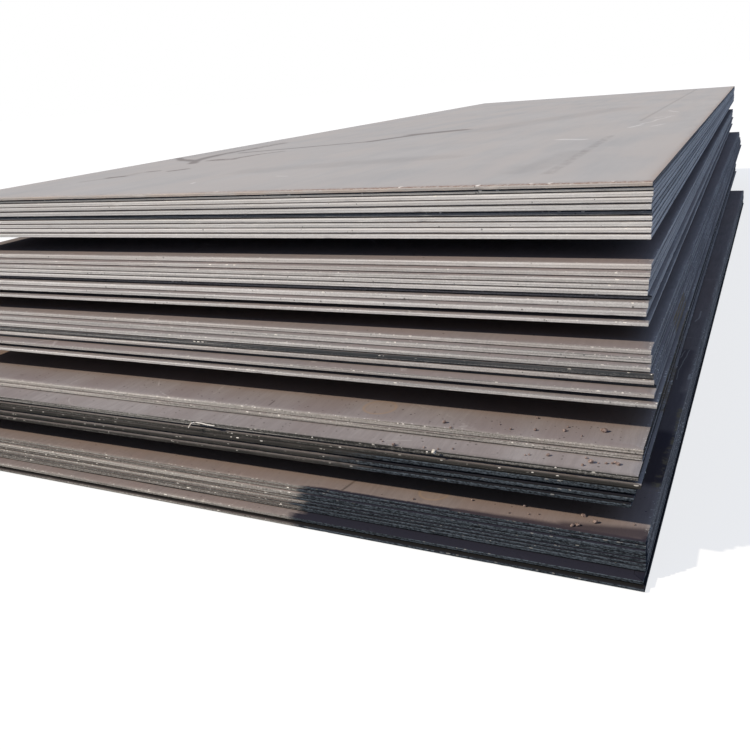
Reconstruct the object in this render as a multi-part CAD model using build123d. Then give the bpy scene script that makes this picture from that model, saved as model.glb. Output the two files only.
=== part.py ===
from build123d import *
import math
import os

os.makedirs("parts", exist_ok=True)

# Sizes in millimetres, +Z up. The stack rests on its lowest plate.
plate_width = 2200.0
plate_length = 6000.0
edge_break = 0.8
air = 0.5

# Stock thicknesses, air film included.
light = 8.0
regular = 10.0
medium = 12.0
heavy = 14.0

# Lifts from the top down: how much shorter than the longest plate, the turn in degrees,
# and the gap below. Each plate is (thickness, how far its front edge stands forward,
# how far it sits to the right, height of the packing below it).
lifts = [
    dict(shorter=0.0, turn=0.0, below=52.0, plates=[
        (regular, 0.0, 0.0, 0.0),
        (regular, -5.0, 2.0, 0.0),
        (medium, -2.0, 2.0, 0.0),
        (heavy, 3.0, 1.0, 0.0),
        (heavy, 6.0, 0.0, 0.0),
        (medium, -4.0, 1.0, 0.0),
        (medium, -1.0, 2.0, 0.0),
        (medium, 4.0, 3.0, 0.0),
        (heavy, 8.0, 2.0, 0.0),
        (medium, 14.0, 3.0, 0.0)]),
    dict(shorter=200.0, turn=0.0, below=46.0, plates=[
        (heavy, 16.0, 6.0, 0.0),
        (medium, 37.0, 7.0, 0.0),
        (medium, 51.0, 6.0, 0.0),
        (medium, 55.0, 6.0, 0.0),
        (medium, 58.0, 5.0, 0.0),
        (medium, 48.0, 13.0, 0.0),
        (heavy, 64.0, 8.0, 0.0),
        (medium, 86.0, 7.0, 10.0),
        (regular, 94.0, 13.0, 0.0)]),
    dict(shorter=350.0, turn=-0.5, below=71.0, plates=[
        (medium, 108.0, 22.0, 0.0),
        (heavy, 126.0, 25.0, 0.0),
        (heavy, 147.0, 26.0, 0.0),
        (heavy, 147.0, 33.0, 0.0),
        (medium, 149.0, 35.0, 0.0),
        (light, 141.0, 39.0, 0.0),
        (medium, 179.0, 39.0, 8.0),
        (regular, 186.0, 46.0, 0.0)]),
    dict(shorter=900.0, turn=-0.55, below=67.0, plates=[
        (heavy, 239.0, 28.0, 0.0),
        (medium, 242.0, 27.0, 0.0),
        (heavy, 311.0, 28.0, 5.0),
        (regular, 311.0, 34.0, 0.0),
        (medium, 313.0, 25.0, 6.0),
        (regular, 316.0, 21.0, 4.0),
        (regular, 319.0, 17.0, 0.0)]),
    dict(shorter=1050.0, turn=-1.1, below=0.0, plates=[
        (light, 328.0, 49.0, 0.0),
        (regular, 329.0, 50.0, 0.0),
        (medium, 334.0, 50.0, 0.0),
        (light, 333.0, 51.0, 0.0),
        (light, 335.0, 52.0, 0.0),
        (light, 337.0, 52.0, 0.0),
        (medium, 337.0, 52.0, 2.0),
        (medium, 367.0, 52.0, 0.0),
        (light, 377.0, 56.0, 0.0)]),
]

# Timber bearers between lifts, and flat packing bars inside a lift in line with them.
support_count = 5
support_setback = 420.0
bearer_width = 90.0
bearer_side_inset = 140.0
bearer_edge = 4.0
packer_width = 50.0
packer_side_inset = 160.0
packer_edge = 0.3
seat_clearance = 0.2


def stack_height():
    total = 0.0
    for lift in lifts:
        for thickness, front, side, packing in lift["plates"]:
            total += thickness + packing
        total += lift["below"]
    return total - air


def placed(shape, front, side, turn):
    """Puts a shape drawn from its near right corner where its plate's corner lies."""
    return Location((side, -front, 0), (0, 0, turn)) * shape


def plate_solid(top, thickness, length):
    body = thickness - air
    blank = Pos(-plate_width / 2, length / 2, top - body / 2) * Box(plate_width, length, body)
    return chamfer(blank.edges().filter_by(Axis.Z, reverse=True), edge_break).solid()


def bar_solid(bottom, height, width, side_inset, middle, y, edge):
    """A straight bar across the stack, lying at one height."""
    bar = Box(plate_width - 2 * side_inset, width, height)
    bar = chamfer(bar.edges().filter_by(Axis.X), edge).solid()
    return Pos(-plate_width / 2 + middle, y, bottom + height / 2) * bar


def far_end(lift, plate):
    length = plate_length - lift["shorter"]
    return length * math.cos(math.radians(lift["turn"])) - plate[1]


def support_rows(upper, lower):
    """Where the bars stand along the stack, under the part that both lifts cover."""
    above = upper["plates"][-1]
    under = lower["plates"][0]
    first = support_setback - above[1]
    last = min(far_end(upper, above), far_end(lower, under)) - support_setback
    step = (last - first) / (support_count - 1)
    return [first + step * i for i in range(support_count)]


def packer_bars(lift, plate, bottom):
    """The packing bars under one plate, lying on the plate below it."""
    height = plate[3] + air - seat_clearance
    rows = support_rows(lift, lift)
    return [bar_solid(bottom, height, packer_width, packer_side_inset, plate[2], y, packer_edge)
            for y in rows]


def bearers(upper, lower, bottom):
    """The timbers between two lifts, under the upper lift's lowest plate."""
    height = upper["below"] + air - seat_clearance
    middle = (upper["plates"][-1][2] + lower["plates"][0][2]) / 2
    return [bar_solid(bottom, height, bearer_width, bearer_side_inset, middle, y, bearer_edge)
            for y in support_rows(upper, lower)]


nodes = {}
top = stack_height()
for number, lift in enumerate(lifts, start=1):
    for row, plate in enumerate(lift["plates"], start=1):
        thickness, front, side, packing = plate
        solid = plate_solid(top, thickness, plate_length - lift["shorter"])
        nodes["lift_%d_plate_%02d" % (number, row)] = [placed(solid, front, side, lift["turn"])]
        top -= thickness + packing
        if packing:
            nodes["lift_%d_packers_%02d" % (number, row)] = packer_bars(lift, plate, top)
    top -= lift["below"]
    if number < len(lifts):
        nodes["bearers_%d" % number] = bearers(lift, lifts[number], top)

# Everything moves so the middle of the whole stack's footprint is the origin.
boxes = [solid.bounding_box() for solids in nodes.values() for solid in solids]
shift_x = -(min(box.min.X for box in boxes) + max(box.max.X for box in boxes)) / 2
shift_y = -(min(box.min.Y for box in boxes) + max(box.max.Y for box in boxes)) / 2
shift_z = -min(box.min.Z for box in boxes)
for name, solids in nodes.items():
    moved = [Pos(shift_x, shift_y, shift_z) * solid for solid in solids]
    shape = moved[0] if len(moved) == 1 else Compound(children=moved)
    export_step(shape, "parts/%s.step" % name)
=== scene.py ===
import bmesh
import bpy
import math
import random
from mathutils import Matrix, Vector, noise


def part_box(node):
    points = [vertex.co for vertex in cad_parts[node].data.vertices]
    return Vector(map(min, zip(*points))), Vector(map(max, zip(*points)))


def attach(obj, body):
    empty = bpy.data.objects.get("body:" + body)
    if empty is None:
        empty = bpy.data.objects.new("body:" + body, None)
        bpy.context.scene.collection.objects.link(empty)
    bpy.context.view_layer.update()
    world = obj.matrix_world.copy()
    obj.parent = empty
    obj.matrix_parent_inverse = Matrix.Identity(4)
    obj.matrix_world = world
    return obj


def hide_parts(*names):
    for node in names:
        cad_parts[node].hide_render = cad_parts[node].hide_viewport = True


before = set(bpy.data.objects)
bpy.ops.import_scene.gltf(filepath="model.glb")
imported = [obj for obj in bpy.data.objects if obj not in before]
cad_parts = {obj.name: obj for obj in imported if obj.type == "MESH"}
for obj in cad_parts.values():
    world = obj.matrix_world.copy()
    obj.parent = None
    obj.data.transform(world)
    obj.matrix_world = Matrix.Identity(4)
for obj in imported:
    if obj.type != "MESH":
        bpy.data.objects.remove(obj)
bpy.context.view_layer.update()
scene = bpy.context.scene
print("frame loaded:", len(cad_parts), "nodes")

# How many plates each lift has, from the top down
liftCounts = {1: 10, 2: 9, 3: 8, 4: 7, 5: 9}


def plateNode(lift, row):
    return "lift_%d_plate_%02d" % (lift, row)


def plateCorners(node):
    # near left, near right, far right, far left, and the top and underside heights
    points = [v.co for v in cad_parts[node].data.vertices]
    low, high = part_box(node)
    corners = [max(points, key=lambda p: sx * p.x + sy * p.y)
               for sx, sy in ((-1, -1), (1, -1), (1, 1), (-1, 1))]
    return [Vector((p.x, p.y)) for p in corners], high.z, low.z


nearCorner = plateCorners(plateNode(1, 1))[0][1]  # near right corner of the top plate
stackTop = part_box(plateNode(1, 1))[1].z


def fromCorner(x, y, height=0.0):
    return Vector((nearCorner.x + x, nearCorner.y + y, height))


# Camera, at the photograph's place and angle
cameraLook = {
    "fromCorner": (0.190, -1.812, 0.2366),  # metres from the top plate's near right corner
    "heading": -25.95,                      # degrees, turned left of the long side
    "tilt": 19.87,                          # degrees down
    "roll": -4.74,
    "lens": 38.23,
    "clip": (0.05, 500),
}


def makeCamera(look):
    heading, tilt, roll = (math.radians(look[k]) for k in ("heading", "tilt", "roll"))
    ahead = Vector((math.sin(heading) * math.cos(tilt), math.cos(heading) * math.cos(tilt), -math.sin(tilt)))
    right = Vector((math.cos(heading), -math.sin(heading), 0))
    up = right.cross(ahead)
    turnedRight = right * math.cos(roll) + up * math.sin(roll)
    turnedUp = up * math.cos(roll) - right * math.sin(roll)
    data = bpy.data.cameras.new("photoCamera")
    data.lens = look["lens"]
    data.clip_start, data.clip_end = look["clip"]
    camera = bpy.data.objects.new("photoCamera", data)
    place = fromCorner(0, 0, stackTop) + Vector(look["fromCorner"])
    turn = Matrix((turnedRight, turnedUp, -ahead)).transposed().to_4x4()
    camera.matrix_world = Matrix.Translation(place) @ turn
    scene.collection.objects.link(camera)
    scene.camera = camera


makeCamera(cameraLook)
print("camera placed")


class NodeTree:
    # a node tree, with short calls for the nodes used here; a value is a number, a colour or an output
    def __init__(self, tree):
        self.tree = tree

    def feed(self, socket, value):
        if isinstance(value, bpy.types.NodeSocket):
            self.tree.links.new(value, socket)
        elif isinstance(value, (tuple, list)) and len(value) == 3 and socket.type == "RGBA":
            socket.default_value = (*value, 1)
        else:
            socket.default_value = value

    def node(self, kind, *values, **settings):
        # the inputs are fed in their order, and None leaves one as it is
        node = self.tree.nodes.new("ShaderNode" + kind)
        for name, value in settings.items():
            setattr(node, name, value)
        for socket, value in zip(node.inputs, values):
            if value is not None:
                self.feed(socket, value)
        return node.outputs

    def use(self, group, **values):
        node = self.tree.nodes.new("ShaderNodeGroup")
        node.node_tree = group
        for name, value in values.items():
            self.feed(node.inputs[name], value)
        return node.outputs

    def giveOut(self, results, **values):
        for name, value in values.items():
            self.feed(results[name], value)
        return self.tree

    def math(self, operation, a, b=None, c=None, clamp=False):
        return self.node("Math", a, b, c, operation=operation, use_clamp=clamp)[0]

    def times(self, a, b):
        return self.math("MULTIPLY", a, b)

    def timesPlus(self, a, b, c, clamp=False):
        return self.math("MULTIPLY_ADD", a, b, c, clamp)

    def vector(self, operation, a, b=None, scale=None):
        outputs = self.node("VectorMath", a, b, None, scale, operation=operation)
        return outputs["Value" if operation in ("LENGTH", "DOT_PRODUCT") else "Vector"]

    def stretched(self, vector, scales):
        return self.vector("MULTIPLY", vector, scales)

    def grain(self, vector, scales, *look):
        return self.noise(self.stretched(vector, scales), *look)

    def ramp(self, value, *ends):
        # where it starts and ends and, where that isn't 0 and 1, what it gives there
        return self.node("MapRange", value, *ends, interpolation_type="SMOOTHSTEP")[0]

    def noise(self, vector, scale, detail=3.0, roughness=0.55):
        return self.node("TexNoise", vector, None, scale, detail, roughness)[0]

    def layer(self, name):
        return self.node("Attribute", attribute_name=name)["Fac"]

    def mix(self, amount, a, b):
        return self.node("Mix", amount, *[None] * 5, a, b, data_type="RGBA")[2]

    def bump(self, height, look):
        node = self.tree.nodes.new("ShaderNodeBump")
        values = {"Strength": look["bumpStrength"], "Distance": look["bumpDistance"], "Height": height}
        for name, value in values.items():
            self.feed(node.inputs[name], value)
        return node.outputs[0]

    def tint(self, colour, tone, mask, share=None):
        # the colour with a share of the tone laid over it where the mask is
        return self.mix(mask if share is None else self.times(mask, share), colour, tone)


# Light: a low warm sun from the front left and a cool even sky
lightLook = {
    "sunTravel": (1.1, 0.9, -1.0),
    "sunPower": 4.28,
    "sunColour": (1.0, 0.885, 0.73),
    "sunSize": 1.6,
    "sunPlace": (-4, -7, 5),
    "skyColour": (0.54, 0.69, 1.0),
    "skyPower": 0.50,
    "floorSeen": (1.0, 1.0, 1.0),
    "floorBounce": (0.07, 0.07, 0.07),
    "floorGlow": 0.72,
    "floorLift": 1.05,
    "floorSize": 150,
    "floorDrop": 0.0006,  # below the lowest plate
}


def whiteRays(tree):
    # the eye, mirrors and glass see the white backdrop; the light on the object stays plain
    path = tree.node("LightPath")
    seen = path["Is Camera Ray"]
    for name in ("Is Glossy Ray", "Is Transmission Ray"):
        seen = tree.math("MAXIMUM", seen, path[name])
    return seen


def makeLight(look):
    data = bpy.data.lights.new("sun", "SUN")
    data.energy = look["sunPower"]
    data.color = look["sunColour"]
    data.angle = math.radians(look["sunSize"])
    sun = bpy.data.objects.new("sun", data)
    sun.rotation_euler = Vector(look["sunTravel"]).to_track_quat("-Z", "Y").to_euler()
    sun.location = look["sunPlace"]
    scene.collection.objects.link(sun)

    world = bpy.data.worlds.new("sky")
    scene.world = world
    world.use_nodes = True
    world.node_tree.nodes.clear()
    tree = NodeTree(world.node_tree)
    sky = tree.node("Background", look["skyColour"], look["skyPower"])[0]
    paper = tree.node("Background", look["floorSeen"])[0]
    tree.node("OutputWorld", tree.node("MixShader", whiteRays(tree), sky, paper)[0])


def makeFloor(look):
    size = look["floorSize"]
    mesh = bpy.data.meshes.new("floor")
    outline = [(-size, -size, 0), (size, -size, 0), (size, size, 0), (-size, size, 0)]
    mesh.from_pydata(outline, [], [(0, 1, 2, 3)])
    floor = bpy.data.objects.new("floor", mesh)
    floor.location.z = -look["floorDrop"]
    scene.collection.objects.link(floor)
    material = bpy.data.materials.new("paleFloor")
    material.use_nodes = True
    material.node_tree.nodes.clear()
    tree = NodeTree(material.node_tree)
    lit = tree.node("BsdfDiffuse", look["floorSeen"])[0]
    glow = tree.node("Emission", look["floorSeen"], look["floorLift"])[0]
    paper = tree.node("MixShader", look["floorGlow"], lit, glow)[0]
    ground = tree.node("BsdfDiffuse", look["floorBounce"])[0]
    tree.node("OutputMaterial", tree.node("MixShader", whiteRays(tree), ground, paper)[0])
    mesh.materials.append(material)


makeLight(lightLook)
makeFloor(lightLook)
scene.view_settings.view_transform = "Standard"
print("light and floor set")


def newGroup(name, inputs, outputs):
    # all sockets are numbers, apart from three that are places
    group = bpy.data.node_groups.new(name, "ShaderNodeTree")
    for names, way in ((inputs, "INPUT"), (outputs, "OUTPUT")):
        for socketName in names:
            kind = "NodeSocketVector" if socketName in ("Vector", "From", "To") else "NodeSocketFloat"
            group.interface.new_socket(socketName, in_out=way, socket_type=kind)
    given = group.nodes.new("NodeGroupInput").outputs
    return NodeTree(group), given, group.nodes.new("NodeGroupOutput").inputs


# Effects shared by several finishes. A noise is its scale, detail and roughness, a detail the last two,
# and a grain a noise with its stretch before it
streakLook = {
    "lineStretch": (1.0, 0.09, 1.0), "lineDetail": (4.0, 0.6), "lineRamp": (0.34, 0.66),
    "bandGrain": ((1.0, 0.2, 1.0), 6.5, 3.0, 0.5), "bandRamp": (0.36, 0.64),
}


def makeRollingStreaks(look):
    # fine lines along the length of a rolled plate, and the broad bands between them
    tree, given, results = newGroup("rollingStreaks", ("Vector", "Fineness"), ("Lines", "Bands"))
    fine = tree.grain(given["Vector"], look["lineStretch"], given["Fineness"], *look["lineDetail"])
    broad = tree.grain(given["Vector"], *look["bandGrain"])
    return tree.giveOut(results, Lines=tree.ramp(fine, *look["lineRamp"]),
                        Bands=tree.ramp(broad, *look["bandRamp"]))


mottleLook = {"cloudDetail": (6.0, 0.62), "cloudRamp": (0.32, 0.68), "gritNoise": (420.0, 2.0, 0.6),
              "gritRamp": (0.35, 0.65)}


def makeMottle(look):
    # cloudy patches of mill scale, from hand size to thumb size, and a fine grit
    tree, given, results = newGroup("scaleMottle", ("Vector", "Size"), ("Clouds", "Grit"))
    clouds = tree.noise(given["Vector"], given["Size"], *look["cloudDetail"])
    grit = tree.noise(given["Vector"], *look["gritNoise"])
    return tree.giveOut(results, Clouds=tree.ramp(clouds, *look["cloudRamp"]),
                        Grit=tree.ramp(grit, *look["gritRamp"]))


spatterLook = {"leastRadius": 0.1, "radiusSpread": 0.26}


def makeSpatter(look):
    # separate small dots, sparse where the cover is low
    tree, given, results = newGroup("spatterDots", ("Vector", "Scale", "Cover"), ("Mask",))
    cells = tree.node("TexVoronoi", given["Vector"], None, given["Scale"])
    pick = tree.node("SeparateColor", cells["Color"])
    radius = tree.timesPlus(pick[0], look["radiusSpread"], look["leastRadius"])
    dot = tree.math("LESS_THAN", cells["Distance"], radius)
    return tree.giveOut(results, Mask=tree.times(dot, tree.math("LESS_THAN", pick[1], given["Cover"])))


hairLook = {"curveDetail": (1.0, 0.3), "level": 0.5, "patchShift": (3.7, 1.9, 0.4),
            "patchNoise": (9.0, 4.0, 0.7), "patchRamp": (0.5, 0.6)}


def makeHairlines(look):
    # long thin curved scratches, where something was dragged over the scale
    tree, given, results = newGroup("hairScratches", ("Vector", "Scale", "Width"), ("Mask",))
    curve = tree.noise(given["Vector"], given["Scale"], *look["curveDetail"])
    away = tree.math("ABSOLUTE", tree.math("SUBTRACT", curve, look["level"]))
    line = tree.math("LESS_THAN", away, given["Width"])
    patch = tree.noise(tree.vector("ADD", given["Vector"], look["patchShift"]), *look["patchNoise"])
    return tree.giveOut(results, Mask=tree.times(line, tree.ramp(patch, *look["patchRamp"])))


lineLook = {"shakeScale": 9.0, "softRamp": (0.3, 1.0, 1.0, 0.0), "wornNoise": (30.0, 4.0, 0.7),
            "gapShare": 0.6, "gapReach": 0.22}


def makeLineMark(look):
    # a soft line between two points of the surface
    inputs = ("Vector", "From", "To", "Width", "Waver", "Gaps")
    tree, given, results = newGroup("lineMark", inputs, ("Mask",))
    shake = tree.node("TexNoise", given["Vector"], None, look["shakeScale"])["Color"]
    shake = tree.vector("SCALE", tree.vector("SUBTRACT", shake, (0.5, 0.5, 0.5)), scale=given["Waver"])
    flat = tree.stretched(tree.vector("ADD", given["Vector"], shake), (1, 1, 0))
    along = tree.vector("SUBTRACT", given["To"], given["From"])
    offset = tree.vector("SUBTRACT", flat, given["From"])
    reach = tree.vector("DOT_PRODUCT", offset, along)
    share = tree.math("DIVIDE", reach, tree.vector("DOT_PRODUCT", along, along), clamp=True)
    nearest = tree.vector("SUBTRACT", offset, tree.vector("SCALE", along, scale=share))
    away = tree.math("DIVIDE", tree.vector("LENGTH", nearest), given["Width"])
    low = tree.times(given["Gaps"], look["gapShare"])
    worn = tree.noise(given["Vector"], *look["wornNoise"])
    broken = tree.ramp(worn, low, tree.math("ADD", low, look["gapReach"]))
    return tree.giveOut(results, Mask=tree.times(tree.ramp(away, *look["softRamp"]), broken))


shearLook = {
    "middle": 0.5, "wanderGrain": ((1, 1, 0.2), 8.0, 3.0, 0.6), "wander": (0.16, -0.08),
    "topShade": (0.0, 0.1, 0.35, 0.0), "lowShade": (0.78, 0.98, 0.0, 0.75),
    "lipRamp": (0.17, 0.4), "creaseRamp": (0.02, 0.13, 1.0, 0.0),
    "striaeGrain": ((1.6, 1.6, 330.0), 1.0, 2.0, 0.5), "striaeRamp": (0.4, 0.64),
    "tickGrain": ((1, 1, 1.2), 240.0, 4.0, 0.8), "tickRamp": (0.32, 0.68),
    "burrStretch": (0.55, 0.55, 1), "burrScale": 130.0, "burrRidge": (0.05, 0.4, 1.0, 0.0),
    "runNoise": (2.6, 3.0, 0.6), "runRamp": (0.38, 0.62),
}


def makeShearEdge(look):
    # the cut edge of a plate: dark lips of painted shade, a crease, fine lines along it, upright ticks, and
    # bright burrs with painted glints
    tree, given, results = newGroup("shearEdge", ("Vector", "Depth", "Burrs"),
                                    ("Shade", "Lips", "Crease", "Striae", "Ticks", "Glint"))
    place = given["Vector"]
    wander = tree.grain(place, *look["wanderGrain"])
    depth = tree.math("ADD", given["Depth"], tree.timesPlus(wander, *look["wander"]))
    gap = tree.math("ABSOLUTE", tree.math("SUBTRACT", depth, look["middle"]))
    striae = tree.grain(place, *look["striaeGrain"])
    ticks = tree.grain(place, *look["tickGrain"])
    burrGlints = tree.use(spatterDots, Vector=tree.stretched(place, look["burrStretch"]), Scale=look["burrScale"],
                     Cover=given["Burrs"])["Mask"]
    burrGlints = tree.times(burrGlints, tree.ramp(given["Depth"], *look["burrRidge"]))
    runs = tree.ramp(tree.noise(place, *look["runNoise"]), *look["runRamp"])
    shade = tree.math("ADD", tree.ramp(depth, *look["topShade"]), tree.ramp(depth, *look["lowShade"]))
    return tree.giveOut(results, Shade=shade, Lips=tree.ramp(gap, *look["lipRamp"]),
                        Crease=tree.ramp(gap, *look["creaseRamp"]),
                        Striae=tree.ramp(striae, *look["striaeRamp"]),
                        Ticks=tree.ramp(ticks, *look["tickRamp"]), Glint=tree.times(burrGlints, runs))


woodLook = {
    "grainStretch": (0.06, 1, 1), "grainDetail": (6.0, 0.7), "grainRamp": (0.3, 0.7),
    "sawGrain": ((1, 0.1, 0.1), 260.0, 2.0, 0.5), "sawRamp": (0.35, 0.65),
}


def makeWoodGrain(look):
    # grain along a timber, and the marks of the saw across it
    tree, given, results = newGroup("sawnGrain", ("Vector", "Scale"), ("Grain", "Saw"))
    grain = tree.grain(given["Vector"], look["grainStretch"], given["Scale"], *look["grainDetail"])
    saw = tree.grain(given["Vector"], *look["sawGrain"])
    return tree.giveOut(results, Grain=tree.ramp(grain, *look["grainRamp"]),
                        Saw=tree.ramp(saw, *look["sawRamp"]))


rollingStreaks = makeRollingStreaks(streakLook)
scaleMottle = makeMottle(mottleLook)
spatterDots = makeSpatter(spatterLook)
hairScratches = makeHairlines(hairLook)
lineMark = makeLineMark(lineLook)
shearEdge = makeShearEdge(shearLook)
sawnGrain = makeWoodGrain(woodLook)
print("shared effects made")


# Plate steel. Each lift has its own tones; the cut edges are lighter than the rolled faces
steelLooks = {
    1: dict(face=(0.255, 0.235, 0.235), faceDark=(0.165, 0.157, 0.163), warm=(0.262, 0.220, 0.206),
            edge=(0.84, 0.843, 0.84), edgeDark=(0.046, 0.054, 0.062), rust=(0.52, 0.44, 0.385),
            burrGlints=0.16, dots=0.02, strokes=0.12, striae=0.20, specks=0.03),
    2: dict(face=(0.26, 0.237, 0.235), faceDark=(0.165, 0.157, 0.163), warm=(0.256, 0.211, 0.205),
            edge=(0.81, 0.807, 0.80), edgeDark=(0.043, 0.044, 0.047), rust=(0.48, 0.42, 0.385),
            burrGlints=0.36, dots=0.03, strokes=0.20, striae=0.26, specks=0.03),
    3: dict(face=(0.26, 0.237, 0.235), faceDark=(0.165, 0.155, 0.160), warm=(0.252, 0.208, 0.202),
            edge=(0.775, 0.765, 0.75), edgeDark=(0.038, 0.046, 0.054), rust=(0.44, 0.38, 0.345),
            burrGlints=0.5, dots=0.04, strokes=0.24, striae=0.30, specks=0.03),
    4: dict(face=(0.33, 0.307, 0.307), faceDark=(0.210, 0.191, 0.192), warm=(0.215, 0.177, 0.172),
            edge=(0.69, 0.675, 0.645), edgeDark=(0.033, 0.034, 0.033), rust=(0.40, 0.345, 0.305),
            burrGlints=0.75, dots=0.15, strokes=0.42, striae=0.40, specks=0.10),
    5: dict(face=(0.262, 0.231, 0.224), faceDark=(0.170, 0.147, 0.142), warm=(0.255, 0.194, 0.177),
            edge=(0.66, 0.64, 0.60), edgeDark=(0.038, 0.037, 0.037), rust=(0.38, 0.33, 0.295),
            burrGlints=0.6, dots=0.15, strokes=0.44, striae=0.40, specks=0.04),
}
# Painted cast shadow on the fronts of the lowest plates and on the ledges before them
castShadowTone = (0.030, 0.037, 0.045)
ledgeShadowTone = (0.027, 0.027, 0.039)
# Bare steel of burrs and scratches, with the glints on them painted in as highlights
bareAndGlintTone = (0.93, 0.90, 0.83)
speckTone = (0.055, 0.045, 0.042)
dotScale = 130.0


def newMaterial(name):
    # a material, its node tree, the inputs of its shader and the place on the object
    material = bpy.data.materials.new(name)
    material.use_nodes = True
    shader = material.node_tree.nodes["Principled BSDF"].inputs
    shader["Specular IOR Level"].default_value = 0.0
    tree = NodeTree(material.node_tree)
    return material, tree, shader, tree.node("TexCoord")["Object"]


def scaled(tone, share):
    return tuple(share * value for value in tone)


shadowBorder = {"noise": (70.0, 4.0, 0.7), "ragged": (0.3, -0.15), "ramp": (0.3, 0.62)}


def shadowCover(tree, place, look):
    # the painted cast shadow lies with a ragged border
    ragged = tree.timesPlus(tree.noise(place, *look["noise"]), *look["ragged"])
    return tree.ramp(tree.math("ADD", tree.layer("plateShadow"), ragged), *look["ramp"])


# How the parts of a cut edge and of a rolled face add up, over each lift's own tones
edgeLook = {
    "mottleSize": 9.0, "lipShade": 0.75, "endShade": 0.75, "rustRamp": (0.1, 0.9, 0.45, 1.0),
    "creaseShare": 0.14, "dotShare": 0.6,
    "clotGrain": ((0.45, 0.45, 1.0), 330.0, 3.0, 0.75), "clotRamp": (0.4, 0.6, 0.0, 0.75),
    "clotStriae": 0.35, "shadowPale": 3.2, "shadowDark": 0.4, "shadowDulls": -0.75,
    "rough": (-0.3, 0.72), "tickHeight": 0.5, "creaseHeight": 0.7,
}
faceLook = {
    "fineness": 95.0, "mottleSize": 3.4, "lineShare": 0.34, "cloudShare": 0.4, "rustShare": 1.4,
    "bandShare": 0.35, "speckShare": 0.7, "rimRamp": (0.45, 1.0), "rimClouds": (0.2, 0.8, 0.35, 1.0),
    "rimTone": -0.9, "rimShare": 0.2, "bareShare": 0.85, "hairScale": 1.7, "hairWidth": 0.0016,
    "hairShare": 0.15, "shadedShare": 0.45, "rough": (0.16, 0.56), "gritHeight": 0.5, "lineHeight": 0.4,
}


def edgeColour(tree, place, steel, look):
    # colour, roughness and height of a plate's cut edge
    depth = tree.layer("edgeDepth")
    tone = tree.layer("plateToneAndShade")
    cut = tree.use(shearEdge, Vector=place, Depth=depth, Burrs=steel["burrGlints"])
    mottle = tree.use(scaleMottle, Vector=place, Size=look["mottleSize"])
    dots = tree.use(spatterDots, Vector=place, Scale=dotScale, Cover=steel["dots"])
    shade = tree.timesPlus(cut["Ticks"], steel["strokes"], tone)
    shade = tree.timesPlus(cut["Striae"], steel["striae"], shade)
    shade = tree.timesPlus(tree.times(cut["Lips"], tone), look["lipShade"], shade)
    shade = tree.timesPlus(cut["Shade"], look["endShade"], shade, clamp=True)
    colour = tree.mix(shade, steel["edge"], steel["edgeDark"])
    rust = tree.ramp(mottle["Clouds"], *look["rustRamp"])
    colour = tree.tint(colour, steel["rust"], rust, tree.layer("plateRust"))
    colour = tree.tint(colour, steel["edgeDark"], cut["Crease"], look["creaseShare"])
    colour = tree.tint(colour, steel["edgeDark"], dots["Mask"], look["dotShare"])
    # painted cast shadow, with fine flecks of the steel showing in it
    clots = tree.ramp(tree.grain(place, *look["clotGrain"]), *look["clotRamp"])
    flecks = tree.timesPlus(cut["Striae"], look["clotStriae"], clots, clamp=True)
    dull = tree.mix(flecks, scaled(castShadowTone, look["shadowPale"]), scaled(castShadowTone, look["shadowDark"]))
    castShade = shadowCover(tree, place, shadowBorder)
    colour = tree.tint(colour, dull, castShade)
    # painted glints on the burrs, dimmed where the painted shadow lies
    shine = tree.times(cut["Glint"], tree.timesPlus(castShade, look["shadowDulls"], 1.0))
    colour = tree.tint(colour, bareAndGlintTone, shine)
    height = tree.math("SUBTRACT", tree.times(cut["Ticks"], look["tickHeight"]),
                       tree.times(cut["Crease"], look["creaseHeight"]))
    return colour, tree.timesPlus(shine, *look["rough"]), tree.math("ADD", height, cut["Glint"])


def faceColour(tree, place, steel, look):
    # colour, roughness and height of a rolled face
    streaks = tree.use(rollingStreaks, Vector=place, Fineness=look["fineness"])
    mottle = tree.use(scaleMottle, Vector=place, Size=look["mottleSize"])
    clouds = tree.times(mottle["Clouds"], look["cloudShare"])
    dark = tree.timesPlus(streaks["Lines"], look["lineShare"], clouds, clamp=True)
    colour = tree.mix(dark, steel["face"], steel["faceDark"])
    bands = tree.times(streaks["Bands"], look["bandShare"])
    tanned = tree.timesPlus(tree.layer("plateRust"), look["rustShare"], bands, clamp=True)
    colour = tree.tint(colour, steel["warm"], tanned)
    specks = tree.use(spatterDots, Vector=place, Scale=dotScale, Cover=steel["specks"])
    colour = tree.tint(colour, speckTone, specks["Mask"], look["speckShare"])
    rim = tree.layer("rimMask")
    tone = tree.layer("plateToneAndShade")
    edging = tree.times(tree.ramp(rim, *look["rimRamp"]), tree.ramp(mottle["Clouds"], *look["rimClouds"]))
    edging = tree.times(edging, tree.timesPlus(tone, look["rimTone"], 1.0, clamp=True))
    colour = tree.tint(colour, steel["edge"], edging, look["rimShare"])
    # bare burr grains on the arris, painted as glints
    bare = tree.use(spatterDots, Vector=place, Scale=dotScale, Cover=steel["burrGlints"])
    colour = tree.tint(colour, bareAndGlintTone, tree.times(edging, bare["Mask"]), look["bareShare"])
    hairs = tree.use(hairScratches, Vector=place, Scale=look["hairScale"], Width=look["hairWidth"])
    colour = tree.tint(colour, steel["edge"], hairs["Mask"], look["hairShare"])
    # painted cast shadow on the ledges of the lowest plates
    colour = tree.tint(colour, ledgeShadowTone, shadowCover(tree, place, shadowBorder))
    shaded = tree.times(tree.times(rim, rim), tone)
    colour = tree.tint(colour, scaled(steel["edgeDark"], look["shadedShare"]), shaded)
    lines = tree.times(streaks["Lines"], look["lineHeight"])
    height = tree.timesPlus(mottle["Grit"], look["gritHeight"], lines)
    return colour, tree.timesPlus(mottle["Clouds"], *look["rough"]), height


joinLook = {"edgeRamp": (0.25, 0.75), "edgeMetal": 0.05, "bumpStrength": 0.5, "bumpDistance": 0.0006}


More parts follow.
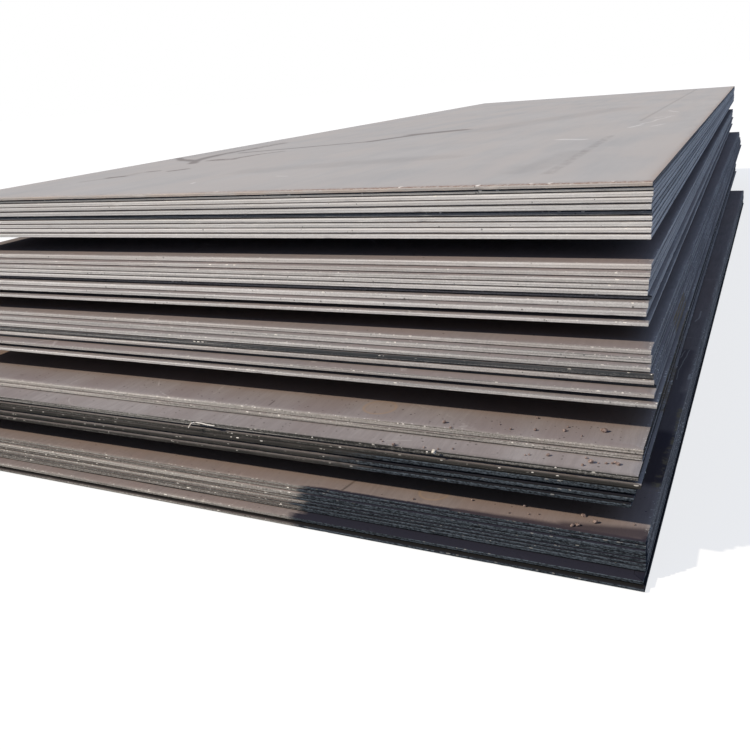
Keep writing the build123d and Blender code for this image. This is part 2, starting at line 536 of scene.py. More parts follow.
def joinFaceAndEdge(tree, shader, faceParts, edgeParts, look):
    onEdge = tree.ramp(tree.layer("edgeMask"), *look["edgeRamp"])
    onFace = tree.math("SUBTRACT", 1.0, onEdge)
    tree.feed(shader["Base Color"], tree.mix(onEdge, faceParts[0], edgeParts[0]))
    rough, height = (tree.math("ADD", tree.times(onEdge, edge), tree.times(onFace, face))
                     for edge, face in zip(edgeParts[1:], faceParts[1:]))
    tree.feed(shader["Roughness"], rough)
    tree.feed(shader["Metallic"], tree.times(onEdge, look["edgeMetal"]))
    tree.feed(shader["Normal"], tree.bump(height, look))


# Marks on the exposed strips of the lower lifts. A mark is x and y of both ends, width, waver and how broken
# it is, a stain its middle and radius, all in metres from the top plate's near right corner
stripMarks = {
    3: {
        "scratches": [
            (-0.038, 3.64, -0.018, 3.57, 0.006, 0.02, 0.1), (-0.018, 3.57, -0.014, 3.48, 0.006, 0.02, 0.1),
            (-0.018, 2.36, -0.023, 2.15, 0.004, 0.02, 0.15),
        ],
        "edgeCrusts": [(0.02, 0.52, 0.018, 0.3, 0.06, 0.02, 0.4)],
    },
    4: {
        "stain": (-0.61, -0.155, 0.047),
        "smears": [(-0.902, -0.18, -0.9, -0.21, 0.003, 0.004, 0.3)],
        "crusts": [
            (-0.02, 1.12, 0.008, 0.6, 0.042, 0.03, 0.62), (0.015, 0.62, 0.034, 0.1, 0.026, 0.03, 0.66),
        ],
    },
    5: {
        "stain": (-0.44, -0.25, 0.04),
        "smears": [(-0.648, -0.24, -0.66, -0.3, 0.005, 0.004, 0.2)],
        # painted shadow: dark bands along the front of the strip and down its right side
        "bands": [
            (-0.36, -0.322, -0.1, -0.318, 0.024, 0.008, 0.0),
            (-0.12, -0.318, 0.07, -0.294, 0.036, 0.008, 0.0), (0.03, -0.04, 0.022, 0.2, 0.06, 0.02, 0.0),
        ],
        "shades": [
            (0.022, 0.16, 0.03, 0.5, 0.064, 0.02, 0.0), (0.02, 0.5, 0.034, 0.9, 0.04, 0.02, 0.3),
        ],
        "scratches": [
            (0.036, 1.26, 0.047, 1.3, 0.004, 0.01, 0.1), (0.047, 1.3, 0.05, 1.4, 0.004, 0.01, 0.1),
            (0.043, 0.92, 0.031, 0.79, 0.002, 0.02, 0.4), (0.031, 0.79, 0.024, 0.63, 0.002, 0.02, 0.4),
            (0.031, 0.91, 0.017, 0.81, 0.002, 0.02, 0.4), (0.06, 0.64, 0.062, 0.68, 0.005, 0.01, 0.2),
        ],
        "rusts": [
            (0.061, 0.42, 0.056, 0.1, 0.012, 0.02, 0.75), (0.056, 0.1, 0.04, -0.11, 0.016, 0.03, 0.75),
        ],
    },
}
# Each kind's tint and how strongly it is laid on
markTints = {
    "stain": ((0.33, 0.24, 0.17), 0.6),
    "smears": (speckTone, 0.6),
    # the bands are painted shadow and the shades painted shade, on the fifth lift's strip and right ledge
    "bands": ((0.052, 0.042, 0.050), 0.9),
    "shades": ((0.060, 0.055, 0.070), 0.5),
    "scratches": (bareAndGlintTone, 0.24),
    "crusts": ((0.17, 0.125, 0.07), 0.62),
    "rusts": ((0.27, 0.22, 0.13), 0.8),
    "edgeCrusts": ((0.25, 0.19, 0.10), 0.85),
}
# Painted shade on the top of each low lift, where the lift above covers it
underShadeLook = {"firstLift": 3, "tone": (0.20, 0.135, 0.095), "share": 0.7, "frontRamp": (0.03, 0.09),
             "sideRamp": (-0.01, 0.08)}
ringLook = {"middle": 0.86, "ringRamp": (0.0, 0.16, 1.0, 0.0), "insideRamp": (0.8, 1.0, 0.35, 0.0)}
topFaceDepth = 0.003  # the marks stay within this of a lift's top
crustedRow = 4  # edge crusts begin below the top of this row


def markMask(tree, place, marks):
    total = None
    for startX, startY, endX, endY, width, waver, gaps in marks:
        mark = tree.use(lineMark, Vector=place, From=fromCorner(startX, startY), To=fromCorner(endX, endY),
                        Width=width, Waver=waver, Gaps=gaps)["Mask"]
        total = mark if total is None else tree.math("MAXIMUM", total, mark)
    return total


def ringStain(tree, place, stain, look):
    x, y, radius = stain
    flat = tree.stretched(place, (1, 1, 0))
    away = tree.vector("LENGTH", tree.vector("SUBTRACT", flat, fromCorner(x, y)))
    share = tree.math("DIVIDE", away, radius)
    fromRing = tree.math("ABSOLUTE", tree.math("SUBTRACT", share, look["middle"]))
    return tree.math("MAXIMUM", tree.ramp(fromRing, *look["ringRamp"]), tree.ramp(share, *look["insideRamp"]))


def underShadeMask(tree, place, above, look):
    # painted shade under the lift above, fading in from its front and its right side
    nearLeft, nearRight = plateCorners(plateNode(above, liftCounts[above]))[0][:2]
    along = (nearRight - nearLeft).normalized()
    masks = []
    for corner, inward, ramp in ((nearLeft, Vector((-along.y, along.x)), look["frontRamp"]),
                                 (nearRight, -along, look["sideRamp"])):
        offset = tree.vector("SUBTRACT", place, (corner.x, corner.y, 0.0))
        depth = tree.vector("DOT_PRODUCT", offset, (inward.x, inward.y, 0.0))
        masks.append(tree.ramp(depth, *ramp))
    return tree.times(*masks)


def makePlateSteel(name, lift, steel):
    material, tree, shader, place = newMaterial(name)
    colour, rough, height = faceColour(tree, place, steel, faceLook)
    cutColour, cutRough, cutHeight = edgeColour(tree, place, steel, edgeLook)
    high = tree.node("SeparateXYZ", place)["Z"]
    upper = tree.math("GREATER_THAN", high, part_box(plateNode(lift, 1))[1].z - topFaceDepth)
    for kind, marks in stripMarks.get(lift, {}).items():
        tint, share = markTints[kind]
        mask = ringStain(tree, place, marks, ringLook) if kind == "stain" else markMask(tree, place, marks)
        if kind == "edgeCrusts":
            below = tree.math("LESS_THAN", high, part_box(plateNode(lift, crustedRow))[1].z)
            cutColour = tree.tint(cutColour, tint, mask, tree.times(below, share))
        elif kind == "crusts":
            colour = tree.tint(colour, tint, mask, share)
            cutColour = tree.tint(cutColour, tint, mask, share)
        else:
            colour = tree.tint(colour, tint, mask, tree.times(upper, share))
    if lift >= underShadeLook["firstLift"]:
        underShade = underShadeMask(tree, place, lift - 1, underShadeLook)
        colour = tree.tint(colour, underShadeLook["tone"], underShade, tree.times(upper, underShadeLook["share"]))
    joinFaceAndEdge(tree, shader, (colour, rough, height), (cutColour, cutRough, cutHeight), joinLook)
    return material


# The top plate's upper face is pale, dusty and marked
topLook = {
    "pale": (0.465, 0.452, 0.440),
    "paleDark": (0.405, 0.400, 0.396),
    "dust": (0.472, 0.445, 0.424),
    "smear": (0.12, 0.10, 0.095),
    "scratch": (0.78, 0.77, 0.75),
    "tan": (0.47, 0.345, 0.26),
    "redSpecks": (0.24, 0.15, 0.115),
    "fineness": 24.0, "mottleSize": 2.2, "lineShare": 0.3, "cloudShare": 0.6, "dustShare": 0.7,
    "frontScale": 0.9, "patchNoise": (5.0, 4.0, 0.7), "patchRamp": (0.25, 0.75, 0.3, 1.0),
    "rimRamp": (0.0, 0.022, 1.0, 0.0), "rimFade": (1.5, 0.5, 0.25, 1.0), "rimShare": 0.5,
    "hazeRamp": (0.0, 0.08, 1.0, 0.0), "hazeShare": 0.12,
    "arrisRamp": (0.004, 0.045, 1.0, 0.0), "arrisFade": (1.5, 0.6, 0.1, 1.0),
    "redGrain": ((1, 0.4, 1), 120.0, 3.0, 0.7), "redRamp": (0.35, 0.6), "redShare": 0.9,
    "bareStretch": (1, 0.35, 1), "bareScale": 50.0, "bareCover": 0.5,
    "rough": (0.14, 0.5), "gritHeight": 0.5, "edgeBurrs": 0.6,
}
# Its marks in the order they are laid on: tint, how strongly, and marks as on the strips
topMarks = [
    ("smear", 0.09, [
        (-1.0, 2.0, -0.55, 3.3, 0.16, 0.05, 0.2), (-1.35, 0.55, -0.75, 0.75, 0.12, 0.1, 0.4),
        (-0.36, 0.25, -0.3, 0.75, 0.06, 0.06, 0.4),
    ]),
    ("smear", 0.16, [
        (-1.955, 0.38, -1.92, 0.46, 0.03, 0.02, 0.3), (-1.88, 0.52, -1.9, 0.61, 0.03, 0.02, 0.3),
    ]),
    ("smear", 0.52, [
        (-1.31, 1.96, -1.14, 2.11, 0.085, 0.01, 0.0), (-1.42, 1.63, -1.28, 1.98, 0.045, 0.01, 0.1),
        (-1.92, 1.34, -1.4, 1.65, 0.03, 0.01, 0.25), (-1.92, 0.48, -1.895, 0.505, 0.034, 0.02, 0.1),
        (-1.88, 0.64, -1.855, 0.66, 0.024, 0.02, 0.1), (-1.77, 0.64, -1.745, 0.69, 0.028, 0.02, 0.1),
        (-2.17, 1.2, -2.06, 1.09, 0.026, 0.03, 0.35), (-2.06, 1.09, -1.96, 1.03, 0.04, 0.03, 0.3),
        (-1.88, 0.91, -1.96, 1.06, 0.03, 0.03, 0.3), (-1.96, 1.06, -2.01, 1.3, 0.04, 0.04, 0.4),
        (-2.01, 1.3, -2.0, 1.6, 0.038, 0.04, 0.5), (-2.0, 1.6, -2.0, 1.85, 0.045, 0.04, 0.6),
        (-1.85, 1.02, -1.77, 1.03, 0.05, 0.05, 0.5), (-1.77, 1.05, -1.75, 1.2, 0.028, 0.03, 0.5),
        (-1.75, 1.2, -1.69, 1.31, 0.022, 0.03, 0.5),
    ]),
    ("smear", 0.9, [
        (-2.245, 1.95, -2.25, 2.15, 0.022, 0.0, 0.0), (-2.238, 2.4, -2.21, 3.05, 0.02, 0.0, 0.1),
    ]),
    ("smear", 0.19, [
        (-0.27, 0.2, -0.29, 1.3, 0.022, 0.02, 0.6), (-0.279, 2.05, -0.292, 5.9, 0.011, 0.003, 0.35),
    ]),
    ("scratch", 0.36, [
        (-0.275, 1.68, -0.245, 1.8, 0.014, 0.01, 0.1), (-0.25, 1.85, -0.17, 2.25, 0.008, 0.05, 0.5),
        (-0.24, 2.25, -0.16, 2.3, 0.012, 0.04, 0.4), (-0.19, 1.68, -0.15, 1.78, 0.01, 0.02, 0.4),
        (-0.22, 2.75, -0.17, 2.6, 0.012, 0.03, 0.4), (-0.46, 1.24, -0.37, 1.19, 0.03, 0.02, 0.45),
        (-1.38, 0.25, -1.37, 0.225, 0.008, 0.01, 0.2), (-1.14, 0.35, -1.1, 0.34, 0.007, 0.01, 0.3),
    ]),
]


def makeTopSteel(name, look, steel):
    material, tree, shader, place = newMaterial(name)
    streaks = tree.use(rollingStreaks, Vector=place, Fineness=look["fineness"])
    mottle = tree.use(scaleMottle, Vector=place, Size=look["mottleSize"])
    clouds = tree.times(mottle["Clouds"], look["cloudShare"])
    pale = tree.timesPlus(streaks["Lines"], look["lineShare"], clouds, clamp=True)
    colour = tree.mix(pale, look["pale"], look["paleDark"])
    colour = tree.tint(colour, look["dust"], streaks["Bands"], look["dustShare"])
    # tan rust along the front and right edges
    parts = tree.node("SeparateXYZ", place)
    fromRight = tree.math("SUBTRACT", nearCorner.x, parts["X"])
    fromFront = tree.math("SUBTRACT", parts["Y"], nearCorner.y)
    inside = tree.math("MINIMUM", fromRight, tree.times(fromFront, look["frontScale"]))
    patchy = tree.ramp(tree.noise(place, *look["patchNoise"]), *look["patchRamp"])
    rim = tree.times(tree.ramp(inside, *look["rimRamp"]), patchy)
    rim = tree.times(rim, tree.ramp(fromRight, *look["rimFade"]))
    haze = tree.times(tree.ramp(inside, *look["hazeRamp"]), patchy)
    colour = tree.tint(colour, look["tan"], haze, look["hazeShare"])
    colour = tree.tint(colour, look["tan"], rim, look["rimShare"])
    # red-brown specks, and bare grains on the arris painted as glints, mostly towards its right end
    front = tree.times(tree.ramp(fromFront, *look["arrisRamp"]), tree.ramp(fromRight, *look["arrisFade"]))
    grains = tree.times(front, tree.ramp(tree.grain(place, *look["redGrain"]), *look["redRamp"]))
    colour = tree.tint(colour, look["redSpecks"], grains, look["redShare"])
    bare = tree.use(spatterDots, Vector=tree.stretched(place, look["bareStretch"]),
                    Scale=look["bareScale"], Cover=look["bareCover"])
    colour = tree.tint(colour, bareAndGlintTone, front, bare["Mask"])
    for tint, share, marks in topMarks:
        colour = tree.tint(colour, look[tint], markMask(tree, place, marks), share)
    rough = tree.timesPlus(mottle["Clouds"], *look["rough"])
    height = tree.times(mottle["Grit"], look["gritHeight"])
    cut = edgeColour(tree, place, dict(steel, burrGlints=look["edgeBurrs"]), edgeLook)
    joinFaceAndEdge(tree, shader, (colour, rough, height), cut, joinLook)
    return material


plateSteel = {}
for lift, steel in steelLooks.items():
    plateSteel[lift] = makePlateSteel("plateSteelLift%d" % lift, lift, steel)
topSteel = makeTopSteel("paleTopSteel", topLook, steelLooks[1])
print("steel finishes made")


# Plates: slabs with sheared edges, worn corners and nicks, within the size of their nodes.
# An edge row is how far in from the outline in mm, share of the thickness, and roughness in mm
plateShape = {
    "frontStep": 0.009, "sideStep": 0.032, "backStep": 0.036,
    "rim": 0.022,
    "profile": [(1.3, 0.0, 0.0), (0.4, 0.03, 0.3), (0.05, 0.11, 0.3), (0.0, 0.34, 0.15), (0.2, 0.5, 0.35),
                (0.45, 0.74, 0.45)],
    "undercutRough": 0.4,
    "lowerArris": (0.75, 0.06),  # in mm, and share above the recess
    "recessInset": (1.4, 7.0, 8.5),  # mm, at its top, part of the way down and at the underside
    "recessStep": 0.3,
    "waveDepth": 0.0005,
    "waves": (1.7, 7.3, 3.1),  # along the edge, from lift to lift, from row to row
    "grains": (60, 2.7, 9.1),  # along the edge, from edge row to edge row, from row to row
    "nicksPerMetre": 3.0,
    "nickDepth": (0.0006, 0.0022),
    "nickWidth": (0.004, 0.016),
    "upperNicks": 0.6,  # share that bite the upper lip
    "nickDrop": 0.8,
    "cornerCut": 0.0008,
    "cornerSlack": 0.0005,
    "undercut": (0.7, 1.4),
    "sharpFrom": 38,  # degrees
}
# How dark a plate's cut edge is, by lift and row, where it isn't as bright as its lift, and how rusty. The
# dark tones of set-back plates and of the fourth lift's lowest plates are painted shade from the plates above
darkAndShadedEdges = {
    1: {1: 0.24, 2: 0.46, 6: 0.56},
    2: {6: 0.6},
    3: {4: 0.56, 6: 0.66},
    4: {1: 0.0, 2: 0.05, 3: 0.3, 4: 0.6, 5: 0.85, 6: 0.78, 7: 0.72},
    5: {2: 0.3, 4: 0.35, 6: 0.4, 7: 0.3, 9: 0.25},
}
rustyEdges = {
    1: {1: 0.7, 2: 0.0, 6: 0.0},
    2: {1: 0.3, 2: 0.28, 3: 0.2},
    3: {1: 0.3, 5: 0.3, 7: 0.3},
    4: {1: 0.28, 2: 0.2, 3: 0.0, 4: 0.05, 5: 0.05, 6: 0.05, 7: 0.05},
    5: {1: 0.2},
}
# How high the dark recess under a plate's edge is, in mm, where it stands out
deepGaps = {
    1: {1: 1.1, 2: 1.5, 3: 0.9, 4: 3.2, 5: 2.2, 6: 2.4, 7: 1.8, 9: 2.8},
    2: {2: 1.8, 4: 1.8, 6: 3.6},
    3: {3: 2.8, 4: 2.0, 5: 1.4, 6: 1.2, 7: 3.0},
    4: {1: 1.6, 2: 2.0, 3: 2.6},
    5: {1: 1.4, 3: 1.3, 8: 3.6},
}
# How dark the other three sides are, by lift, and where a plate has its own tone, its face too
sideTones = {1: 0.0, 2: 0.05, 3: 0.2, 4: 0.55, 5: 0.1}
ownSideTone = {(1, 1): 0.5}
plateWearAndShade = {"tone": (0.0, 0.12), "rust": (0.02, 0.16), "sideTone": 0.25, "sideRust": 0.3,
             "rightReach": (-0.4, 0.9)}
# How much darker a lift's front edges are at their right end
rightShade = {3: 0.16, 4: 0.16}
# Painted cast shadow on the fronts of the lowest plates, by lift: its first row, how much, and where it sets
# in
shadowRows = {4: (5, 0.9, (0.05, 0.75)), 5: (1, 0.9, (0.16, 0.36))}
shadowedStrips = {(5, 7), (5, 8), (5, 9), (4, 6), (4, 7)}  # plates whose upper face carries the painted shadow too
shadowReach = {4: 0.5}  # how far back it goes along the right side
# painted shade: the upper face of these plates is drawn black, as in the shadow of the plate above
shadedLedges = {(5, 9)}  # plates whose upper face is black to the edge
shadedLedgeRims = (1.7, 0.7)
shadowLook = {"reach": 0.05, "fade": 0.8, "ragged": 0.07, "raggedSteps": (9, 0.9)}


def smoothStep(value, low, high):
    share = min(1.0, max(0.0, (value - low) / (high - low)))
    return share * share * (3 - 2 * share)


def edgeWalk(corners, shape):
    # points round the outline: place, inward direction, direction along, distance along the way, side, and
    # where on the side from -1 to 1
    steps = (shape["frontStep"], shape["sideStep"], shape["backStep"], shape["sideStep"])
    cut = shape["cornerCut"]
    walk, travelled = [], 0.0
    for side in range(4):
        a, b = corners[side], corners[(side + 1) % 4]
        length = (b - a).length
        along = (b - a) / length
        inward = Vector((-along.y, along.x))
        count = max(4, round((length - 2 * cut) / steps[side]))
        for i in range(count + 1):
            at = cut + (length - 2 * cut) * i / count
            walk.append((a + along * at, inward, along, travelled + at, side, 2 * i / count - 1))
        travelled += length
    return walk


def nickList(total, shape, dice):
    nicks = []
    for _ in range(int(total * shape["nicksPerMetre"])):
        nicks.append((dice.uniform(0, total), dice.uniform(*shape["nickDepth"]),
                      dice.uniform(*shape["nickWidth"]), dice.random() < shape["upperNicks"]))
    return nicks


def nickBites(walk, shape, dice):
    # how deep the nicks bite at each point, into the upper and the lower lip
    bites = [[0.0, 0.0] for _ in walk]
    for where, depth, width, upper in nickList(walk[-1][3], shape, dice):
        row = 0 if upper else 1
        for i, point in enumerate(walk):
            away = abs(point[3] - where)
            if away < width:
                bites[i][row] = max(bites[i][row], depth * (1 - (away / width) ** 2))
    return bites


def edgeRows(shape, thickness, gap):
    # inset in mm, share of the thickness, roughness, edge or face, rim
    floor = 1 - gap / 1000 / thickness
    rows = [(shape["rim"] * 1000, 0.0, 0.0, 0.0, 0.0)]
    for inset, share, rough in shape["profile"]:
        rows.append((inset, share * floor, rough, 1.0 if share else 0.0, 1.0))
    arris, lip = shape["lowerArris"]
    top, middle, under = shape["recessInset"]
    rows.append((arris, floor - lip, shape["undercutRough"], 1.0, 1.0))
    rows.append((top, floor, shape["undercutRough"], 1.0, 1.0))
    rows.append((middle, floor + (1 - floor) * shape["recessStep"], 0.0, 0.0, 1.0))
    rows.append((under, 1.0, 0.0, 0.0, 1.0))
    return rows


def bumps(x, y, z):
    return (noise.noise(Vector((x, y, z))) + 1) / 2


def edgePoint(walked, lift, row, r, edgeRow, bite, shape):
    # where a point of the outline lies at one edge row, and how far it hangs below that row
    place, inward, along, at, side, across = walked
    inset, share, rough = edgeRow[:3]
    step, liftStep, rowStep = shape["waves"]
    wave = bumps(at * step, lift * liftStep, row * rowStep) * shape["waveDepth"]
    step, edgeStep, rowStep = shape["grains"]
    grain = bumps(at * step, r * edgeStep, row * rowStep + lift) * rough / 1000
    bitten = bite[0] * (1 - share) ** 2 + bite[1] * share ** 2
    depth = inset / 1000 + wave + grain + bitten
    spot = place + inward * depth - along * across * max(0.0, inset / 1000 - shape["cornerSlack"])
    return spot, bite[0] * shape["nickDrop"] if r == 2 else 0.0


def toneAndShadeAt(plate, tone, onEdge, place, side):
    # how dark the cut edge is drawn at a point, painted shade included, and for a shaded ledge the face
    if plate in shadedLedges and not onEdge:
        return 1.0
    if side == 0:
        return tone + rightShade.get(plate[0], 0.0) * smoothStep(place.x, *plateWearAndShade["rightReach"])
    if plate in ownSideTone:
        return ownSideTone[plate]
    return max(tone * plateWearAndShade["sideTone"], sideTones[plate[0]]) if onEdge else 0.0


def shadowAt(plate, r, place, side, nearRight):
    # the painted shadow lies on the front and fades backwards along the right side
    firstRow, amount, spread = shadowRows.get(plate[0], (99, 0.0, (0, 1)))
    stripShadowed = plate in shadowedStrips
    if plate[1] < firstRow or side > 1 or (r == 0 and not stripShadowed):
        return 0.0
    step, rowStep = shadowLook["raggedSteps"]
    ragged = noise.noise(Vector((place.x * step, plate[1] * rowStep, plate[0])))
    shadowShare = amount * smoothStep(place.x + shadowLook["ragged"] * ragged, *spread)
    if side == 1 and (r > 1 or not stripShadowed):
        reach = shadowReach.get(plate[0], shadowLook["reach"])
        shadowShare *= 1 - shadowLook["fade"] * smoothStep(place.y - nearRight.y, 0.0, reach)
    return shadowShare


def makePlate(lift, row, shape):
    node = plateNode(lift, row)
    corners, top, bottom = plateCorners(node)
    thickness = top - bottom
    dice = random.Random(lift * 100 + row)
    walk = edgeWalk(corners, shape)
    bites = nickBites(walk, shape, dice)
    # each is drawn for every plate, so that a change in a table leaves the others as they are
    tone = darkAndShadedEdges[lift].get(row, dice.uniform(*plateWearAndShade["tone"]))
    rust = rustyEdges[lift].get(row, dice.uniform(*plateWearAndShade["rust"]))
    gap = deepGaps[lift].get(row, dice.uniform(*shape["undercut"]))
    names = ("edgeDepth", "edgeMask", "rimMask", "plateToneAndShade", "plateRust", "plateShadow")
    layers = {name: [] for name in names}
    points, count = [], len(walk)
    rows = edgeRows(shape, thickness, gap)
    for r, edgeRow in enumerate(rows):
        share, onEdge, rim = edgeRow[1], edgeRow[3], edgeRow[4]
        if (lift, row) in shadedLedges and r < len(shadedLedgeRims):
            rim = shadedLedgeRims[r]
        for i, walked in enumerate(walk):
            spot, drop = edgePoint(walked, lift, row, r, edgeRow, bites[i], shape)
            points.append((spot.x, spot.y, top - thickness * share - drop))
            place, side = walked[0], walked[4]
            layers["edgeDepth"].append(share)
            layers["edgeMask"].append(onEdge)
            layers["rimMask"].append(rim)
            layers["plateToneAndShade"].append(toneAndShadeAt((lift, row), tone, onEdge, place, side))
            layers["plateRust"].append(rust if side == 0 else rust * plateWearAndShade["sideRust"])
            layers["plateShadow"].append(shadowAt((lift, row), r, place, side, corners[1]))
    faces = []
    for r in range(len(rows) - 1):
        for i in range(count):
            j = (i + 1) % count
            faces.append((r * count + i, (r + 1) * count + i, (r + 1) * count + j, r * count + j))
    faces.append(tuple(range(count)))
    faces.append(tuple((len(rows) - 1) * count + i for i in reversed(range(count))))
    mesh = bpy.data.meshes.new(node + "_dressed")
    mesh.from_pydata(points, [], faces)
    mesh.polygons.foreach_set("use_smooth", [True] * len(faces))
    mesh.set_sharp_from_angle(angle=math.radians(shape["sharpFrom"]))
    for name, values in layers.items():
        mesh.attributes.new(name, "FLOAT", "POINT").data.foreach_set("value", values)
    mesh.materials.append(topSteel if (lift, row) == (1, 1) else plateSteel[lift])
    plate = bpy.data.objects.new(node + "_dressed", mesh)
    scene.collection.objects.link(plate)
    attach(plate, "root")
    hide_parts(node)


for lift, count in liftCounts.items():
    for row in range(1, count + 1):
        makePlate(lift, row, plateShape)
print("plates made")


# Loose crumbs of rust and dirt lying on the exposed strips. Each lot names the plate it lies on; a crumb is
# how far right and back from the top plate's near right corner, and its size, in mm
crumbLots = {
    "rustCrumbsA": {"on": (4, 1), "tint": "clay", "crumbs": [
        (-64, -168, 13), (-146, -185, 8), (-143, -163, 5), (-209, -197, 8), (-220, -130, 6), (-105, -202, 4),
        (-263, -206, 5), (-294, -186, 4), (-421, -207, 8), (-397, -232, 6),
    ]},
    "rustCrumbsB": {"on": (4, 3), "tint": "clay", "crumbs": [
        (-165, -263, 8), (-205, -270, 4), (-213, -274, 4), (-86, -255, 5), (-73, -274, 9), (-58, -271, 4),
        (-42, -269, 5), (-87, -290, 6), (-25, -262, 7), (-18, -268, 8), (-30, -266, 5), (-512, -302, 8),
        (-440, -295, 5), (-546, -289, 4), (-406, -295, 5), (-375, -285, 5),
    ]},
    "paleCrumbs": {"on": (4, 3), "tint": "bone", "crumbs": [
        (-408, -318, 9), (-412, -306, 6), (-425, -315, 4), (-720, -312, 4),
    ]},
    "rustCrumbsC": {"on": (5, 1), "tint": "clay", "crumbs": [
        (-89, -260, 9), (-60, -281, 9), (-104, -308, 8), (-93, -303, 7), (-98, -298, 5), (-221, -255, 8),
        (-204, -286, 4), (-183, -280, 4), (-342, -262, 6), (-247, -293, 4), (-475, -295, 5), (18, -266, 4),
    ]},
}
crumbTints = {
    "clay": ((0.32, 0.25, 0.225), (0.13, 0.09, 0.078)),
    "bone": ((0.82, 0.79, 0.72), (0.60, 0.55, 0.47)),
}
crumbShape = {
    "radius": 0.51,  # share of the size
    "stretch": ((0.8, 1.3), (0.75, 1.1), (0.7, 0.95)),
    "lump": 0.45, "lumpSize": 2.4,
    "sunk": 0.06,  # share of the size
    "seeds": 90,
    "mottle": 160.0, "rough": 0.9,
}


def makeMottled(name, tints, size, rough):
    # a plain cloudy finish of two tints
    material, tree, shader, place = newMaterial(name)
    mottle = tree.use(scaleMottle, Vector=place, Size=size)
    tree.feed(shader["Base Color"], tree.mix(mottle["Clouds"], *tints))
    shader["Roughness"].default_value = rough
    return material


crumbSteel = {}
for tint, colours in crumbTints.items():
    crumbSteel[tint] = makeMottled(tint + "Crumb", colours, crumbShape["mottle"], crumbShape["rough"])


def addPiece(name, mesh, material):
    data = bpy.data.meshes.new(name)
    mesh.to_mesh(data)
    mesh.free()
    data.materials.append(material)
    piece = bpy.data.objects.new(name, data)
    scene.collection.objects.link(piece)
    return piece


def makeCrumbs(name, lot, shape):
    # lumpy little stones, a little flattened, all standing on their plate
    dice = random.Random(name)
    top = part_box(plateNode(*lot["on"]))[1].z
    mesh = bmesh.new()
    for crumb in lot["crumbs"]:
        right, back, size = (measure / 1000 for measure in crumb)
        made = bmesh.ops.create_icosphere(mesh, subdivisions=2, radius=size * shape["radius"])
        seed = Vector((dice.uniform(0, shape["seeds"]), 0, 0))
        stretch = [dice.uniform(*limits) for limits in shape["stretch"]]
        for vert in made["verts"]:
            lump = 1 + shape["lump"] * noise.noise(vert.co * (shape["lumpSize"] / size) + seed)
            vert.co = Vector(a * b * lump for a, b in zip(vert.co, stretch))
        low = min(vert.co.z for vert in made["verts"])
        shift = fromCorner(right, back, top - low - size * shape["sunk"])
        for vert in made["verts"]:
            vert.co += shift
    piece = addPiece(name, mesh, crumbSteel[lot["tint"]])
    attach(piece, "root")


for name, lot in crumbLots.items():
    makeCrumbs(name, lot, crumbShape)
print("crumbs laid")


# A thin pale splinter of packing lies by the edge of the fourth lift's third plate, its tail over the edge
splinterLook = {
    "on": (4, 3),
    "ends": ((-1.067, -0.306), (-1.004, -0.314)),
    "width": 0.0055, "thick": 0.0007, "curl": 0.0002,
    "parts": 14, "bow": 0.0004, "bowStep": 0.5,
    "tail": ((-1.068, -0.309), (-1.074, -0.3165), (-1.080, -0.3225)),
    "tailWidth": 0.0026, "tailParts": 5,
    "tailHeights": (0.0012, 0.0008, -0.010),
    "above": 0.0002,  # its height over the plate
    "tints": ((0.92, 0.90, 0.86), (0.72, 0.67, 0.60)),
    "mottle": 90.0, "rough": 0.7,
}
ribbonShape = {"ripple": 0.4, "rippleStep": 7, "lean": 0.0006}


def ribbon(mesh, path, width, thick, curl, shape):
    # a flat strip along a path, curled a little off the plate between its ends
    rings = []
    for i, point in enumerate(path):
        ahead = (path[min(i + 1, len(path) - 1)] - path[max(i - 1, 0)]).normalized()
        across = Vector((-ahead.y, ahead.x, 0)).normalized() * width / 2
        share = i / (len(path) - 1)
        ripple = shape["ripple"] * math.sin(shape["rippleStep"] * share)
        lift = curl * math.sin(math.pi * share) * (1 - shape["ripple"] + ripple)
        ring = []
        for side, height in ((-1, 0), (1, 0), (1, thick), (-1, thick)):
            lean = shape["lean"] if side < 0 else 0.0
            ring.append(mesh.verts.new(point + across * side + Vector((0, 0, height + lift + lean))))
        rings.append(ring)
    for a, b in zip(rings, rings[1:]):
        for k in range(4):
            mesh.faces.new((a[k], a[(k + 1) % 4], b[(k + 1) % 4], b[k]))
    mesh.faces.new(reversed(rings[0]))
    mesh.faces.new(rings[-1])


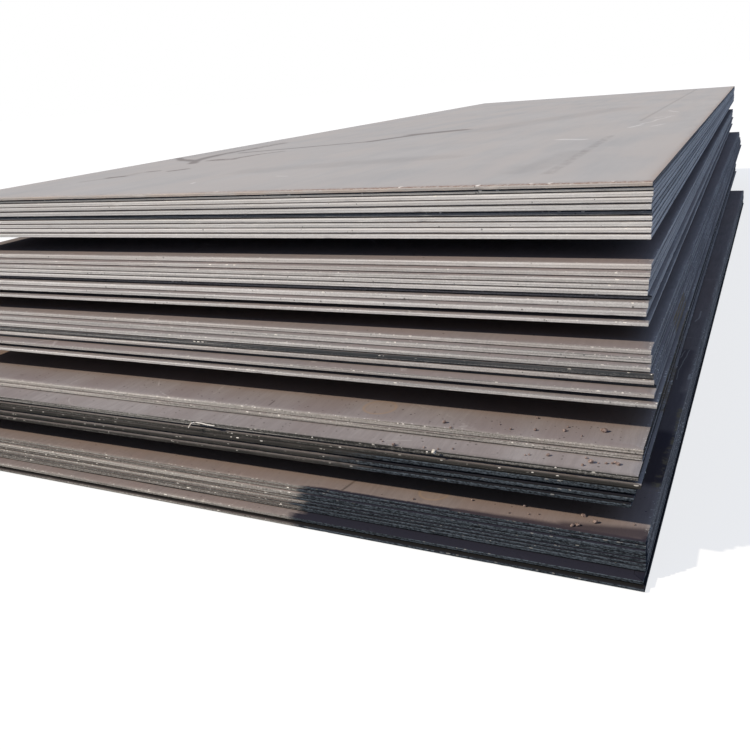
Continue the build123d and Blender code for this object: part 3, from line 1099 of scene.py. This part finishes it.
def makeSplinter(look):
    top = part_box(plateNode(*look["on"]))[1].z + look["above"]
    a, b = (fromCorner(x, y, top) for x, y in look["ends"])
    parts = look["parts"]
    path = [a.lerp(b, i / parts) + Vector((0, look["bow"] * math.sin(i * look["bowStep"]), 0))
            for i in range(parts + 1)]
    mesh = bmesh.new()
    ribbon(mesh, path, look["width"], look["thick"], look["curl"], ribbonShape)
    bends = [fromCorner(x, y, top + height) for (x, y), height in zip(look["tail"], look["tailHeights"])]
    parts = look["tailParts"]
    tail = [bends[0].lerp(bends[1], i / parts) for i in range(parts + 1)]
    tail += [bends[1].lerp(bends[2], i / parts) for i in range(1, parts + 1)]
    ribbon(mesh, tail, look["tailWidth"], look["thick"], 0.0, ribbonShape)
    bmesh.ops.recalc_face_normals(mesh, faces=mesh.faces)
    material = makeMottled("paleSplinterFilm", look["tints"], look["mottle"], look["rough"])
    piece = addPiece("paleSplinter", mesh, material)
    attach(piece, "root")


makeSplinter(splinterLook)
print("splinter laid")


# Timber bearers and packing bars keep their CAD shapes
timberLook = {
    "light": (0.42, 0.31, 0.20), "dark": (0.20, 0.135, 0.085), "grey": (0.30, 0.27, 0.235),
    "grain": 34.0, "weatherScale": 4.0, "weatherRamp": (0.4, 0.7, 0.1, 0.7), "rough": 0.85,
    "sawHeight": 0.5, "bumpStrength": 0.6, "bumpDistance": 0.0015,
}
barLook = {"tints": ((0.09, 0.075, 0.065), (0.16, 0.105, 0.07)), "mottle": 14.0, "rough": (0.2, 0.6)}


def makeTimber(look):
    material, tree, shader, place = newMaterial("sawnTimber")
    wood = tree.use(sawnGrain, Vector=place, Scale=look["grain"])
    colour = tree.mix(wood["Grain"], look["light"], look["dark"])
    weather = tree.ramp(tree.noise(place, look["weatherScale"]), *look["weatherRamp"])
    tree.feed(shader["Base Color"], tree.mix(weather, colour, look["grey"]))
    shader["Roughness"].default_value = look["rough"]
    height = tree.timesPlus(wood["Saw"], look["sawHeight"], wood["Grain"])
    tree.feed(shader["Normal"], tree.bump(height, look))
    return material


def makeDarkBar(look):
    material, tree, shader, place = newMaterial("darkBar")
    mottle = tree.use(scaleMottle, Vector=place, Size=look["mottle"])
    tree.feed(shader["Base Color"], tree.mix(mottle["Clouds"], *look["tints"]))
    tree.feed(shader["Roughness"], tree.timesPlus(mottle["Grit"], *look["rough"]))
    return material


timber = makeTimber(timberLook)
darkBar = makeDarkBar(barLook)
for name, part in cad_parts.items():
    if name.startswith("bearers") or "packers" in name:
        part.data.materials.clear()
        part.data.materials.append(timber if name.startswith("bearers") else darkBar)
print("bearers and packing bars dressed")
